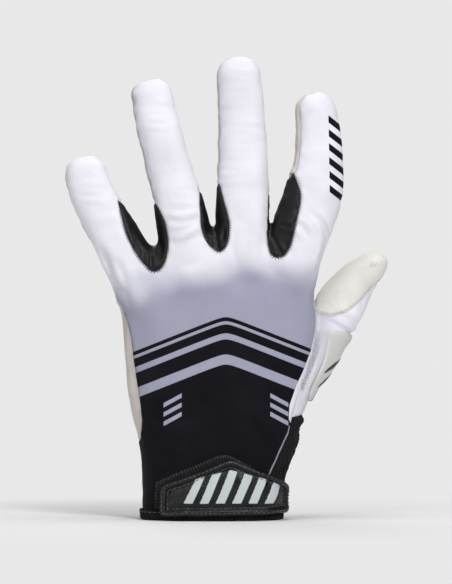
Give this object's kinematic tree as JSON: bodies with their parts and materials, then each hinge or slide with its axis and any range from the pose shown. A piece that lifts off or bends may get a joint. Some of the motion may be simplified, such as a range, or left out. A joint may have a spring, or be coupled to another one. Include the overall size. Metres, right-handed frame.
{
  "type": "full-finger motocross glove",
  "caption": "Left motocross glove in its worn shape: white stretch back, cream synthetic-leather palm, black gussets, moulded thumb guard, black cuff and pentagon closure tab",
  "frame": {"origin": "the middle of the wrist opening, in the plane of the hem's lowest edge", "axes": "+Z from the wrist opening to the fingertips, -Y the back of the hand, +Y the palm, +X the thumb side"},
  "size_m": [0.1618, 0.0604, 0.2311],
  "materials": {
    "white_knit": "fine white polyester-elastane stretch knit, sublimation-printed black towards the wrist, soft sheen",
    "palm_leather": "off-white perforation-free synthetic suede leather, matt",
    "black_stretch": "black four-way stretch cloth with a slight satin sheen",
    "moulded_rubber": "pale grey moulded thermoplastic rubber, satin",
    "black_rib": "black ribbed stretch knit, matt",
    "loop_pile": "black loop pile of a hook and loop fastener, fuzzy",
    "black_leather": "black coated synthetic leather with a fine grain, semi-gloss, double stitched"
  },
  "bodies": {
    "root": {"back_panel": "white_knit", "palm_panel": "palm_leather", "gusset_little_ring": "black_stretch", "gusset_ring_middle": "black_stretch", "gusset_middle_index": "black_stretch", "thumb_cloth": "white_knit", "thumb_leather": "palm_leather", "thumb_guard": "moulded_rubber", "wrist_knit": "black_rib", "cuff_binding": "black_rib", "loop_pad": "loop_pile", "closure_tab": "black_leather", "tab_rim": "black_leather"}
  },
  "joints": []
}
